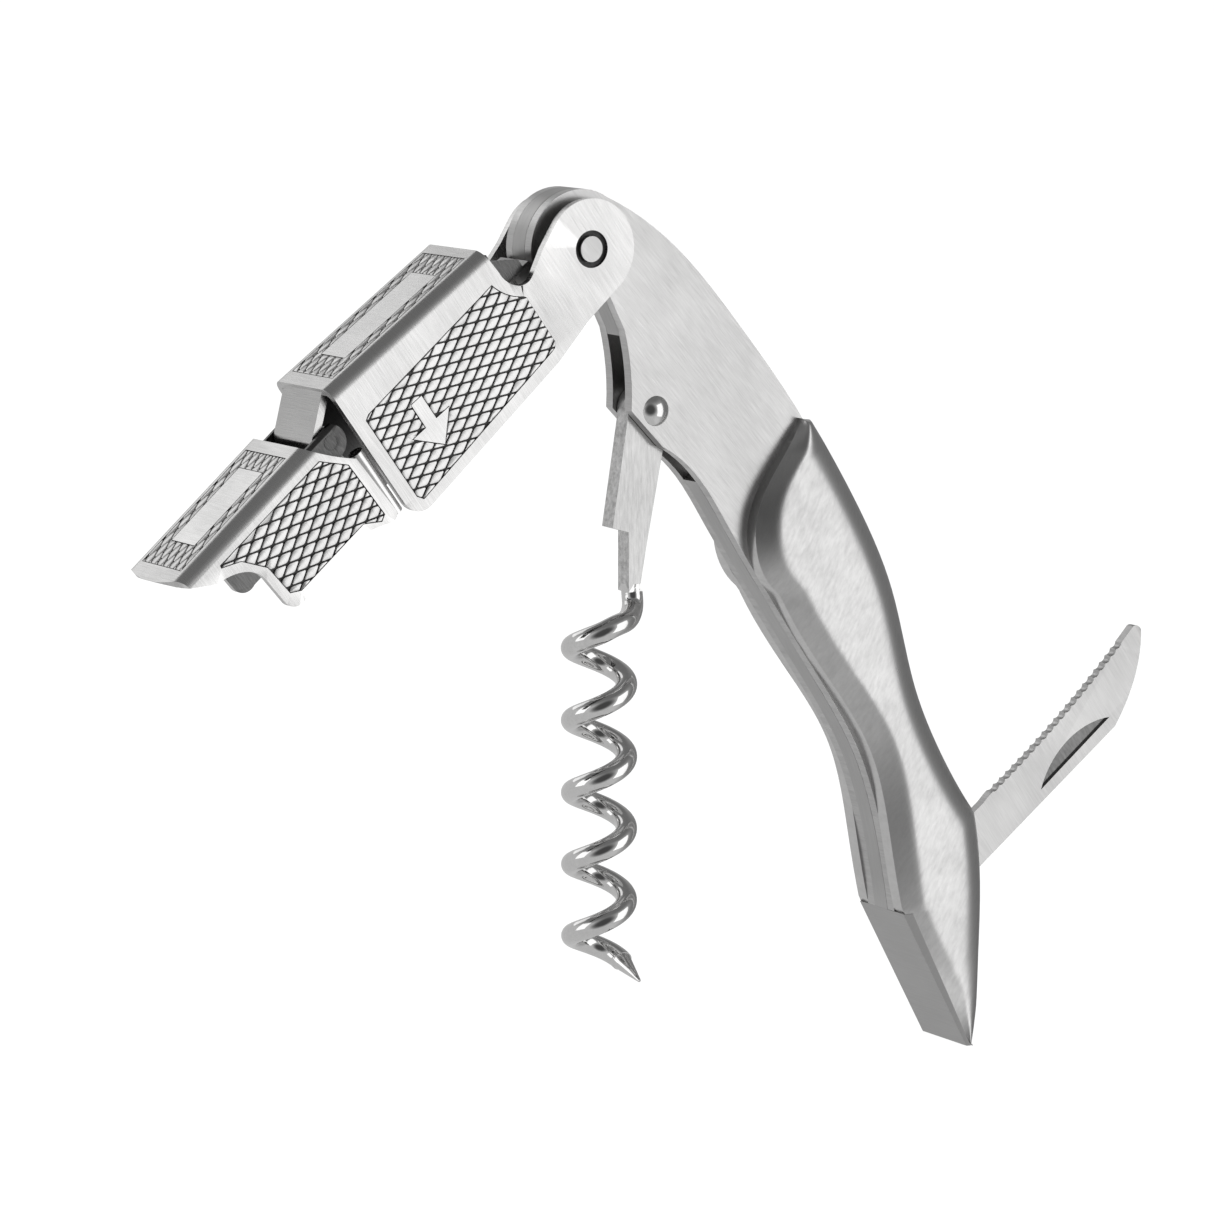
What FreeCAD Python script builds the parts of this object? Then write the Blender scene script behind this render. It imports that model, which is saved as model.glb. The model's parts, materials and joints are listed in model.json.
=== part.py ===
import FreeCAD, Part
import math
import os

# Double-hinged waiter's corkscrew, half open. Millimetres, +Z up, Y across the handle's thickness.
# Everything is laid out in the X-Z plane from the main lever pivot, then set down on its lowest point.

os.makedirs("parts", exist_ok=True)
V = FreeCAD.Vector

# Handle frame
handle_length = 130.0
handle_length_drawn = 130.0
plate = 1.5
plate_gap = 2.75
nose_radius = 7.2
slot_clearance = 0.125
scale_rise = 3.4
scale_wall = 2.0
scale_bevel = 1.0
end_block_thickness = 1.3
end_block_foot = 0.6
end_block_width = 9.65
end_block_flare = 0.44

# Levers, folded from one sheet thickness
sheet = 1.0
channel_width = 13.6
channel_fold = 1.7
first_lever_length = 39.4
first_lever_angle = 36.0
second_lever_angle = 41.0
second_lever_reach = 26.4
lever_back_height = 10.2
ear_radius = 6.2
washer = 1.45
washer_margin = 1.7
axial_gap = 0.05
panel_depth = 0.25
panel_margin = 1.9
window_half = 2.8

# Pins and rivets
pivot_pin_radius = 1.6
pivot_ring_radius = 2.3
pivot_ring_depth = 0.45
running_gap = 0.05
worm_rivet_radius = 1.2
rivet_dome_radius = 1.9
rivet_dome_height = 0.9
hinge_pin_radius = 0.9
bracket_rivets_along = (7.4, 11.4)
bracket_rivet_foot = 1.2
bracket_rivet_top = 0.7
spring_shank_radius = 0.8
spring_head_radius = 1.4
spring_head_sunk = 0.4
blade_pin_radius = 1.2
frame_rivet_radius = 1.0
stud_radius = 1.0

# Worm
wire_radius = 1.35
worm_coil_radius = 3.45
worm_pitch = 9.2
worm_turns = 4.75
worm_axis_x = 4.5
shank_thickness = plate_gap - 2 * slot_clearance
shank_end_radius = 3.1
point_length = 4.9
point_radius = 0.2

# Foil-cutter blade
blade_length = 45.0
blade_thickness = 1.3
blade_half_width = 3.4
blade_angle = 36.4
blade_teeth = 22
tooth_radius = 0.78
tooth_lift = 0.5
edge_rise = 1.9
edge_sag = 2.4
tang_radius = 3.6

plate_inner = plate_gap / 2
plate_outer = plate_inner + plate
ear_inner = plate_outer + washer + axial_gap
ear_outer = ear_inner + sheet
channel_half = channel_width / 2
worm_rivet_at = (11.1, -20.8)
blade_pivot_at = (57.5, -86.0)
grip_start = 40.0
grip_span = 68.0
grip_run = (0.48, -0.88)

nodes = {}


def grip(points):
    """Handle points, stretched along the grip when the handle is made longer or shorter."""
    extra = handle_length - handle_length_drawn
    moved = []
    for x, z in points:
        share = min(max((-z - grip_start) / grip_span, 0.0), 1.0)
        moved.append((x + grip_run[0] * extra * share, z + grip_run[1] * extra * share))
    return moved


def wire(start, *steps):
    """Closed outline in X-Z: a point is a straight edge, a list is a curve, ("arc", mid, end) an arc."""
    edges = []
    here = start
    for step in steps + (start,):
        at = V(here[0], 0, here[1])
        if isinstance(step, list):
            curve = Part.BSplineCurve()
            curve.interpolate([at] + [V(x, 0, z) for x, z in step])
            edges.append(curve.toShape())
            here = step[-1]
        elif step[0] == "arc":
            mid, end = step[1:]
            edges.append(Part.Arc(at, V(mid[0], 0, mid[1]), V(end[0], 0, end[1])).toShape())
            here = end
        elif math.dist(here, step) > 1e-6:
            edges.append(Part.makeLine(at, V(step[0], 0, step[1])))
            here = step
    return Part.Wire(edges)


def slab(outline, low, high):
    face = Part.Face(outline)
    face.translate(V(0, low, 0))
    return face.extrude(V(0, high - low, 0))


def rod(at, radius, low, high):
    return Part.makeCylinder(radius, high - low, V(at[0], low, at[1]), V(0, 1, 0))


def dome(at, base, outward):
    """Low rivet head: a ball cap whose flat side sits on y = base."""
    ball = (rivet_dome_radius ** 2 + rivet_dome_height ** 2) / (2 * rivet_dome_height)
    centre = base + outward * (rivet_dome_height - ball)
    cap = Part.makeSphere(ball, V(at[0], centre, at[1]))
    low, high = sorted((base, base + outward * (rivet_dome_height + 1)))
    return cap.common(rod(at, rivet_dome_radius + 1, low, high))


def mirrored(shape):
    return shape.mirror(V(0, 0, 0), V(0, 1, 0))


def turned(shape, angle, at=(0, 0)):
    """Turn in the X-Z plane, anticlockwise as seen from the front."""
    copy = shape.copy()
    copy.rotate(V(at[0], 0, at[1]), V(0, -1, 0), angle)
    return copy


def as_lever(shape, angle):
    """From lever coordinates (X along the lever, Z towards its back) to the assembly."""
    copy = shape.mirror(V(0, 0, 0), V(0, 0, 1))
    return turned(copy, 180 + angle)


# Handle outline: nose arc, then the back edge down to the blade's shoulder and the tip
nose_top = (nose_radius * math.cos(math.radians(57)), nose_radius * math.sin(math.radians(57)))
nose_foot = (nose_radius * math.cos(math.radians(-55)), nose_radius * math.sin(math.radians(-55)))
back_edge = grip([(14.6, -1.0), (23.7, -10.8), (33.2, -22.8), (40.4, -34.4), (46.5, -46.5), (50.4, -59.6),
                  (54.0, -67.6), (60.2, -77.0)])
foot_edge = grip([(61.3, -85.3), (61.3, -93.2), (60.3, -103.9), (59.9, -107.9)])
foot = grip([(59.2, -108.1)])[0]
worm_bay_edge = [(6.4, -10.5), (7.3, -15.5), (7.4, -20.6)]
waist_edge = grip([(12.1, -25.4), (17.7, -29.9), (22.3, -36.6), (27.4, -44.2), (35.6, -56.0), (43.2, -68.3),
                   (46.8, -79.6), (48.6, -89.0)])
plate_outline = wire(nose_foot, ("arc", (-nose_radius, 0.0), nose_top), back_edge, foot_edge, foot,
                     waist_edge[-1], waist_edge[-2::-1], worm_bay_edge[-1], worm_bay_edge[-2::-1])

blade_pivot = grip([blade_pivot_at])[0]
frame_rivets_at = grip([(33.5, -33.0), (37.6, -54.6), (57.8, -98.6)])
studs_at = grip([(38.5, -40.0), (57.8, -92.0)])

end_block_outline = wire(waist_edge[-1], foot, (foot[0] + end_block_foot, foot[1]),
                         (waist_edge[-1][0] + end_block_thickness, waist_edge[-1][1]))
end_block = slab(end_block_outline, -end_block_width, end_block_width)

# Its two ends lean outwards, in line with the bevel of the grip scales
block_run = V(foot[0] - waist_edge[-1][0], 0, foot[1] - waist_edge[-1][1])
block_inwards = V(-block_run.z, 0, block_run.x).normalize()
block_overrun = 0.2
block_corner = V(waist_edge[-1][0], 0, waist_edge[-1][1]) - block_run * block_overrun
block_half = end_block_width / 2
flare_depth = 4.0
flare_half = block_half + flare_depth * end_block_flare
flare = Part.makePolygon([block_corner + V(0, -block_half, 0), block_corner + V(0, block_half, 0),
                          block_corner + block_inwards * flare_depth + V(0, flare_half, 0),
                          block_corner + block_inwards * flare_depth + V(0, -flare_half, 0),
                          block_corner + V(0, -block_half, 0)])
end_block = end_block.common(Part.Face(flare).extrude(block_run * (1 + 2 * block_overrun)))

front_plate = slab(plate_outline, -plate_outer, -plate_inner).cut(end_block)
front_plate = front_plate.cut(rod((0, 0), pivot_pin_radius, -plate_outer, 0))
front_plate = front_plate.cut(rod(worm_rivet_at, worm_rivet_radius, -plate_outer, 0))
front_plate = front_plate.cut(rod(blade_pivot, blade_pin_radius, -plate_outer, 0))
for at in frame_rivets_at:
    front_plate = front_plate.cut(rod(at, frame_rivet_radius, -plate_outer, 0))
for at in studs_at:
    front_plate = front_plate.cut(rod(at, stud_radius, -plate_outer, 0))
nodes["front_plate"] = front_plate
nodes["rear_plate"] = mirrored(front_plate)
nodes["end_block"] = end_block

# Spacers fill the gap between the plates, open at the worm bay and the blade pocket
filler = slab(plate_outline, -plate_inner, plate_inner).cut(end_block)
bay_top = -11.3
nose_part = slab(wire((-20, bay_top), (40, bay_top), (40, 20), (-20, 20)), -plate_inner, plate_inner)
nodes["nose_spacer"] = filler.common(nose_part).cut(rod((0, 0), pivot_pin_radius, -plate_inner, plate_inner))

bay_radius = shank_end_radius + 1.0
bay = slab(wire((0, bay_top), (9.0, bay_top), (11.4, worm_rivet_at[1] + bay_radius),
                (worm_rivet_at[0] + bay_radius, worm_rivet_at[1]), (18.9, -29.6), (12.0, -36.0), (0, -36.0)),
           -plate_inner, plate_inner)
bay = bay.fuse(rod(worm_rivet_at, bay_radius, -plate_inner, plate_inner))
pocket_edge = grip([(50.0, -40.5), (36.6, -43.4), (36.4, -46.2), (37.6, -49.2), (43.8, -62.4), (49.2, -75.5),
                    (52.8, -83.0), (52.8, -88.8), (54.3, -90.4), (57.0, -92.4), (66.0, -101.0), (75.0, -90.0),
                    (75.0, -50.0)])
pocket = slab(wire(pocket_edge[0], *pocket_edge[1:]), -plate_inner, plate_inner)
handle_spacer = filler.cut(nose_part).cut(bay).cut(pocket)
for at in frame_rivets_at:
    handle_spacer = handle_spacer.cut(rod(at, frame_rivet_radius, -plate_inner, plate_inner))
nodes["handle_spacer"] = handle_spacer

# Grip scales: cast shells with an upright rim and a bevelled crown, one each side
scale_right = grip([(41.3, -34.0), (47.4, -46.3), (51.3, -59.6), (54.9, -67.4), (61.1, -77.0)])
scale_foot = grip([(62.2, -85.3), (62.2, -93.2), (61.2, -103.9)])
scale_left = grip([(46.6, -79.6), (43.4, -67.4), (36.0, -56.2), (28.8, -45.4)])
scale_tip = [(25.2, -39.8), (25.3, -34.6), (28.2, -29.2), (32.6, -23.0)]
scale_sides = [[(34.4, -23.3)] + scale_right, scale_foot + [(foot[0] + 0.8, foot[1])], [foot, waist_edge[-1]],
               scale_left, scale_tip]


def bevelled(inset):
    """The scale's outline, moved inwards; the bevel dies away at the foot."""
    points = [point for side in scale_sides for point in side]
    moved = []
    for index, (x, z) in enumerate(points):
        before, after = points[index - 1], points[(index + 1) % len(points)]
        across = math.dist(before, after)
        depth = inset * min(1.0, (z - foot[1]) / 19 + 0.12) / across
        moved.append((x + depth * (after[1] - before[1]), z - depth * (after[0] - before[0])))
    sides = []
    for side in scale_sides:
        sides.append(moved[:len(side)])
        moved = moved[len(side):]
    return wire(sides[0][0], sides[0][1:], sides[1], sides[2][0], sides[2][1], sides[3], sides[4])


front_scale = slab(bevelled(0.0), -plate_outer - scale_wall, -plate_outer)
crown_low = bevelled(0.0)
crown_low.translate(V(0, -plate_outer - scale_wall, 0))
crown_high = bevelled(scale_bevel)
crown_high.translate(V(0, -plate_outer - scale_rise, 0))
front_scale = front_scale.fuse(Part.makeLoft([crown_low, crown_high], True, True))
front_scale = front_scale.cut(end_block)
nodes["front_scale"] = front_scale
nodes["rear_scale"] = mirrored(front_scale)

# Hidden rivets and studs, and the pins the moving pieces turn on
rivets = [rod(at, frame_rivet_radius, -plate_outer, plate_outer) for at in frame_rivets_at]
nodes["frame_rivets"] = Part.makeCompound(rivets)
studs = [rod(at, stud_radius, -plate_outer, -plate_inner) for at in studs_at]
nodes["scale_studs"] = Part.makeCompound(studs + [mirrored(stud) for stud in studs])
nodes["lever_pivot_pin"] = rod((0, 0), pivot_pin_radius, -ear_outer, ear_outer)
washer_ring = rod((0, 0), ear_radius - washer_margin, -plate_outer - washer, -plate_outer)
washer_ring = washer_ring.cut(rod((0, 0), pivot_pin_radius, -ear_outer, 0))
nodes["pivot_washer_front"] = washer_ring
nodes["pivot_washer_rear"] = mirrored(washer_ring)
rivet_shaft = rod(worm_rivet_at, worm_rivet_radius, -plate_outer, plate_outer)
rivet_heads = [dome(worm_rivet_at, side * plate_outer, side) for side in (-1, 1)]
nodes["worm_rivet"] = rivet_shaft.fuse(rivet_heads).removeSplitter()
nodes["blade_pin"] = rod(blade_pivot, blade_pin_radius, -plate_outer, plate_outer)
blade_washer_low = blade_thickness / 2 + axial_gap
blade_washer = rod(blade_pivot, tang_radius - 0.4, -plate_inner, -blade_washer_low)
blade_washer = blade_washer.cut(rod(blade_pivot, blade_pin_radius, -plate_inner, 0))
nodes["blade_washer_front"] = blade_washer
nodes["blade_washer_rear"] = mirrored(blade_washer)

# Worm: flat shank on the rivet, square stem, then a right-handed coil with a drawn-out point
half_shank = shank_thickness / 2
stem_x = 9.4
stem_end = -43.6
shank = slab(wire((8.05, -21.3), (5.75, -35.3), (stem_x - half_shank, -36.0), (stem_x - half_shank, stem_end),
                  (stem_x + half_shank, stem_end), (stem_x + half_shank, -38.6), (14.15, -21.4)),
             -half_shank, half_shank)
shank = shank.fuse(rod(worm_rivet_at, shank_end_radius, -half_shank, half_shank))
shank = shank.cut(rod(worm_rivet_at, worm_rivet_radius + running_gap, -half_shank, half_shank))
coil_start = -47.3
path = [V(stem_x, 0, stem_end + 1.0), V(stem_x, 0, stem_end), V(stem_x - 0.1, -0.35, stem_end - 1.5),
        V(stem_x - 1.3, -1.7, stem_end - 2.75), V(stem_x - 3.0, -3.0, stem_end - 3.3)]
steps_per_turn = 16
for step in range(int(worm_turns * steps_per_turn) + 1):
    turn = step / steps_per_turn
    angle = math.radians(-90 - 360 * turn)
    path.append(V(worm_axis_x + worm_coil_radius * math.cos(angle), worm_coil_radius * math.sin(angle),
                  coil_start - worm_pitch * turn))
coil_curve = Part.BSplineCurve()
coil_curve.interpolate(path)
coil_edge = coil_curve.toShape()
section = Part.Wire(Part.makeCircle(wire_radius, path[0], V(0, 0, -1)))
coil = Part.Wire(coil_edge).makePipeShell([section], True, True)
tip_direction = coil_curve.tangent(coil_curve.LastParameter)[0]
point = Part.makeCone(0.98 * wire_radius, point_radius, point_length, path[-1] - tip_direction * 0.4,
                      tip_direction)
nodes["worm"] = shank.fuse(coil).fuse(point)

# First lever: a channel folded from sheet, with ears on the main pivot and a sloping hinge tongue
half = channel_half
bend_start = 5.5
bend_end = 12.5
lever_end = first_lever_length
back = lever_back_height


def plan(inset, low):
    """Lever seen from its back, narrowing to the ears, as a prism from z = low downwards."""
    outer = [(-9, ear_outer - inset), (bend_start, ear_outer - inset), (bend_end, half - inset),
             (lever_end + 5, half - inset)]
    corners = [V(x, y, low) for x, y in outer] + [V(x, -y, low) for x, y in reversed(outer)]
    face = Part.Face(Part.makePolygon(corners + corners[:1]))
    return face.extrude(V(0, 0, -30))


def folded(solid, radius, top):
    """Round the long fold edges at height top."""
    edges = [edge for edge in solid.Edges
             if edge.BoundBox.ZMin > top - 0.01 and edge.BoundBox.XLength > 2 * edge.BoundBox.YLength]
    return solid.makeFillet(radius, edges)


channel_room = folded(plan(sheet, back - sheet), channel_fold - sheet, back - sheet)
channel = folded(plan(0, back), channel_fold, back).cut(channel_room)
ear_top = (ear_radius * math.cos(math.radians(67.4)), ear_radius * math.sin(math.radians(67.4)))
ear_foot = (ear_radius * math.cos(math.radians(-95.8)), ear_radius * math.sin(math.radians(-95.8)))
lip_corner = 2.6
skirt = -6.17 - 0.1016 * (lever_end - lip_corner + 0.63)
first_side = wire(ear_foot, ("arc", (-ear_radius, 0.0), ear_top), (8.7, 3.1),
                  [(10.4, 3.0), (11.9, 4.1), (12.7, 6.6)], (13.1, back + 1), (lever_end, back + 1),
                  (lever_end, skirt + lip_corner), ("arc", (lever_end - 0.76, skirt + 0.76),
                                                    (lever_end - lip_corner, skirt)))
first_lever = channel.common(slab(first_side, -half, half))
hinge = (lever_end + 3.1, 4.6)
knuckle_radius = hinge_pin_radius + sheet
tongue_half = 4.6
slope = math.radians(-40)
tongue_along = (math.cos(slope), math.sin(slope))
tongue_out = (-math.sin(slope), math.cos(slope))


def from_hinge(along, out):
    return (hinge[0] + along * tongue_along[0] + out * tongue_out[0],
            hinge[1] + along * tongue_along[1] + out * tongue_out[1])


tongue_root = -(back - from_hinge(0, knuckle_radius)[1]) / math.sin(-slope)
tongue = slab(wire(from_hinge(tongue_root, knuckle_radius), from_hinge(0, knuckle_radius),
                   from_hinge(0, knuckle_radius - sheet), from_hinge(tongue_root, knuckle_radius - sheet)),
              -tongue_half, tongue_half)
tongue = tongue.fuse(rod(hinge, knuckle_radius, -tongue_half, tongue_half))
tongue = tongue.cut(rod(hinge, hinge_pin_radius + running_gap, -tongue_half, tongue_half))
root = from_hinge(tongue_root, knuckle_radius)
bridge = slab(wire((root[0] - 1.2, back), root, from_hinge(tongue_root, knuckle_radius - sheet),
                   (root[0] - 1.6, back - sheet)), -tongue_half, tongue_half)
first_lever = first_lever.fuse([tongue, bridge]).removeSplitter()
first_panel = wire((14.4, 6.1), [(13.4, 3.9), (11.6, 2.1)], (10.8, 1.2), (10.6, -4.6), (11.8, -5.8),
                   (lever_end - 2.4, skirt + 1.3), (lever_end - 1.8, skirt + 2.2), (lever_end - 1.8, 4.1),
                   (lever_end - 2.5, 4.5))
arrow_at = (lever_end - 8.6, -1.7)
arrow = wire((arrow_at[0] - 0.9, 1.6), (arrow_at[0] + 0.9, 1.6), (arrow_at[0] + 0.9, -1.9),
             (arrow_at[0] + 3.1, -1.9), (arrow_at[0], -5.2), (arrow_at[0] - 3.1, -1.9),
             (arrow_at[0] - 0.9, -1.9))


def sunk(lever, outline, island=None):
    """Sink a knurling panel into both side walls, leaving an optional raised island."""
    for side in (-1, 1):
        low, high = sorted((side * (half - panel_depth), side * (half + 1)))
        cutter = slab(outline, low, high)
        if island:
            cutter = cutter.cut(slab(island, low, high))
        lever = lever.cut(cutter)
    return lever


def back_panel(start, end, top, window):
    """Sunk band on a lever's back, around a smooth window."""
    band_half = half - panel_margin
    band = Part.makeBox(end - start, 2 * band_half, panel_depth + 1,
                        V(start, -band_half, top - panel_depth))
    inner = Part.makeBox(window[1] - window[0], 2 * window_half, panel_depth + 2,
                         V(window[0], -window_half, top - panel_depth))
    return band.cut(inner)


first_lever = sunk(first_lever, first_panel, arrow)
first_lever = first_lever.cut(back_panel(14.6, lever_end - 2.0, back, (18.2, lever_end - 5.6)))
ear_bore = rod((0, 0), pivot_pin_radius + running_gap, -half, half)
first_lever = first_lever.cut(ear_bore)
for side in (-1, 1):
    low, high = sorted((side * (ear_outer - pivot_ring_depth), side * (ear_outer + 1)))
    first_lever = first_lever.cut(rod((0, 0), pivot_ring_radius, low, high))
nodes["first_lever"] = as_lever(first_lever, first_lever_angle)

# Spring pack inside the first lever: a bracket hung from its back, a leaf on the nose and a domed rivet
bracket_base = 3.6
bracket_half = 4.0
bracket_start = 8.4
bracket_end = 20.0
bracket_sheet = 0.6
inner_back = back - sheet
bracket_solid = Part.makeBox(bracket_end - bracket_start, 2 * bracket_half, inner_back - bracket_base,
                             V(bracket_start, -bracket_half, bracket_base))
bracket_room = Part.makeBox(30, 2 * (bracket_half - bracket_sheet), 10,
                            V(0, -bracket_half + bracket_sheet, bracket_base + bracket_sheet))
bracket_step = bracket_base + bracket_sheet + 0.8
bracket_slant = slab(wire((0, bracket_step), (bracket_start, bracket_step), (14.4, inner_back), (14.4, 20),
                          (0, 20)), -half, half)
spring_bracket = bracket_solid.cut(bracket_room).cut(bracket_slant)
leaf_thickness = 0.5
leaf_margin = 0.8
leaf_reach = 26.0
leaf = Part.makeBox(leaf_reach - nose_radius, 2 * (bracket_half - leaf_margin), leaf_thickness,
                    V(nose_radius - 0.2, -bracket_half + leaf_margin, bracket_base - leaf_thickness))
spring_rivet_at = V(10.6, 0, bracket_base)
spring_rivet_hole = Part.makeCylinder(spring_shank_radius, 8, spring_rivet_at - V(0, 0, 4), V(0, 0, 1))
head_base = bracket_base + bracket_sheet
ball = Part.makeSphere(spring_head_radius, spring_rivet_at + V(0, 0, bracket_sheet - spring_head_sunk),
                       V(0, 1, 0))
spring_head = ball.common(Part.makeBox(4, 4, 4, V(spring_rivet_at.x - 2, -2, head_base)))
spring_shank = Part.makeCylinder(spring_shank_radius, leaf_thickness + bracket_sheet,
                                 spring_rivet_at - V(0, 0, leaf_thickness), V(0, 0, 1))
spring_rivet = spring_head.fuse(spring_shank)
nodes["spring_bracket"] = as_lever(spring_bracket.cut(spring_rivet_hole), first_lever_angle)
nodes["lever_spring"] = as_lever(leaf.cut(spring_rivet_hole), first_lever_angle)
nodes["spring_rivet"] = as_lever(spring_rivet, first_lever_angle)

# Second lever, drawn from its hinge: X towards the tip, Z towards the back
tip = second_lever_reach
top = 2.5
inner = half - sheet
shell = Part.makeBox(tip + 10, channel_width, 30, V(-5, -half, top - 30))
shell = folded(shell, channel_fold, top)
hollow = folded(Part.makeBox(tip + 12, 2 * inner, 30, V(-6, -inner, top - sheet - 30)), channel_fold - sheet,
                top - sheet)
second_side = wire((3.5, top + 1), (3.4, top), [(1.4, -0.6), (-0.9, -3.4)], (-0.7, -12.0),
                   ("arc", (-0.2, -12.6), (0.6, -12.7)), [(2.6, -11.6), (4.2, -11.0)], (tip - 11.4, -11.0),
                   ("arc", (tip - 9.6, -10.6), (tip - 9.1, -9.6)), (tip - 9.1, -5.8),
                   [(tip - 8.5, -3.6), (tip - 6.6, -2.0), (tip - 4.2, -1.2)], (tip - 0.8, 1.4), (tip, top),
                   (tip, top + 1))
second_lever = shell.cut(hollow).common(slab(second_side, -half, half))
lip_radius = 18.0
tip_round = Part.makeCylinder(lip_radius, 40, V(tip - lip_radius, 0, -20), V(0, 0, 1))
tip_keep = tip_round.fuse(Part.makeBox(tip, channel_width, 40, V(-9.0, -half, -20)))
second_lever = second_lever.common(tip_keep)
curl_radius = 0.95
curl_from = V(-1.6, 0, -3.2)
curl_to = V(-0.8, 0, -12.5)
for side in (-1, 1):
    offset = V(0, side * (half - curl_radius - 0.04), 0)
    curl_run = curl_to - curl_from
    curl = Part.makeCylinder(curl_radius, curl_run.Length, curl_from + offset, curl_run)
    second_lever = second_lever.fuse(curl)
second_panel = wire((2.9, 0.0), (0.3, -3.2), (0.7, -11.2), (1.6, -11.6), (3.6, -10.0), (tip - 11.6, -9.9),
                    (tip - 10.3, -9.0), (tip - 10.2, -4.6), (tip - 8.2, -1.5), (tip - 5.8, -0.2),
                    (tip - 5.9, 0.2))
second_lever = sunk(second_lever, second_panel)
second_lever = second_lever.cut(back_panel(5.2, tip - 2.4, top, (8.0, tip - 6.3)))

# Hinge bracket: a liner under the second lever's back, whose cheeks carry the hidden hinge pin
cheek = 0.95
cheek_outer = inner - 0.05
eye = knuckle_radius + 0.3
liner_top = top - sheet
liner_end = 14.0
liner_sheet = 0.8
liner_profile = wire((0, eye), (3.7, liner_top), (liner_end, liner_top), (liner_end - 1.4, -2.2), (5.4, -2.2),
                     (0, -eye))
liner = slab(liner_profile, -cheek_outer, cheek_outer).fuse(rod((0, 0), eye, -cheek_outer, cheek_outer))
liner_room = Part.makeBox(40, 2 * (cheek_outer - cheek), 20,
                          V(-20, -cheek_outer + cheek, liner_top - liner_sheet - 20))
liner_gap = Part.makeBox(25.2, 2 * (cheek_outer - cheek), 20, V(-20, -cheek_outer + cheek, -10))
hinge_bracket = liner.cut(liner_room).cut(liner_gap)
hinge_bracket = hinge_bracket.common(hollow)
hinge_bracket = hinge_bracket.cut(rod((0, 0), hinge_pin_radius, -half, half))
bracket_rivets = []
for along in bracket_rivets_along:
    rivet = Part.makeCone(bracket_rivet_foot, bracket_rivet_top, liner_sheet,
                          V(along, 0, liner_top - liner_sheet), V(0, 0, 1))
    hinge_bracket = hinge_bracket.cut(rivet)
    bracket_rivets.append(rivet)
hinge_pin = rod((0, 0), hinge_pin_radius, -cheek_outer, cheek_outer)


def as_second_lever(shape):
    """Hinge coordinates, tilted to the second lever's angle, then carried by the first lever's frame."""
    copy = shape.copy()
    copy.rotate(V(0, 0, 0), V(0, 1, 0), second_lever_angle - first_lever_angle)
    copy.translate(V(hinge[0], 0, hinge[1]))
    return as_lever(copy, first_lever_angle)


nodes["second_lever"] = as_second_lever(second_lever)
nodes["hinge_bracket"] = as_second_lever(hinge_bracket)
nodes["bracket_rivets"] = as_second_lever(Part.makeCompound(bracket_rivets))
nodes["hinge_pin"] = as_second_lever(hinge_pin)

# Blade, drawn from its pivot: X to the tip, Z towards the serrated edge
reach = blade_length
ground = blade_half_width
edge_start = (12.8, ground)
edge_end = (reach - 3.2, ground + edge_rise)
blade_outline = wire((-tang_radius, 0), ("arc", (-2.5, -2.6), (0.6, -ground)), (reach - 11, -ground),
                     [(reach - 5.2, -0.6), (reach - 1.4, 2.6), (reach, 4.4)],
                     ("arc", (reach - 0.1, 5.2), (reach - 0.8, 5.7)), edge_end,
                     [((edge_start[0] + edge_end[0]) / 2, ground + 0.35), edge_start],
                     (11.3, ground - 0.2), (0.6, ground), ("arc", (-2.5, 2.6), (-tang_radius, 0)))
blade = slab(blade_outline, -blade_thickness / 2, blade_thickness / 2)
tooth_step = (edge_end[0] - edge_start[0] - 1.0) / blade_teeth
scallops = []
for tooth in range(blade_teeth):
    share = (tooth + 0.5) / blade_teeth
    along = edge_start[0] + 0.6 + (tooth + 0.5) * tooth_step
    height = ground + edge_rise * share - edge_sag * share * (1 - share)
    scallops.append(rod((along, height + tooth_lift), tooth_radius, -blade_thickness, blade_thickness))
blade = blade.cut(scallops)
nick_depth = 0.4
nick = slab(wire((19.6, -1.9), ("arc", (26.8, 0.5), (34.0, -1.7))), -blade_thickness,
            -blade_thickness / 2 + nick_depth)
blade = blade.cut(nick)
blade = blade.cut(rod((0, 0), blade_pin_radius + running_gap, -blade_thickness, blade_thickness))
blade = turned(blade, blade_angle)
blade.translate(V(blade_pivot[0], 0, blade_pivot[1]))
nodes["blade"] = blade

# Set the whole tool down: origin under its middle, at its lowest point
bounds = Part.makeCompound(list(nodes.values())).optimalBoundingBox(False)
shift = V(-(bounds.XMin + bounds.XMax) / 2, 0, -bounds.ZMin)
print("moved by", shift, "size", bounds.XLength, bounds.YLength, bounds.ZLength)
for name, shape in nodes.items():
    shape.translate(shift)
    solids = shape.Solids
    print(name, len(solids), "solids", round(shape.Volume, 1), "valid", shape.isValid())
    shape = solids[0] if len(solids) == 1 else Part.makeCompound(solids)
    shape.exportStep(f"parts/{name}.step")
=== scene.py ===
import json
import math

import bmesh
import bpy
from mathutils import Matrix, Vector
from mathutils.geometry import delaunay_2d_cdt

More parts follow.
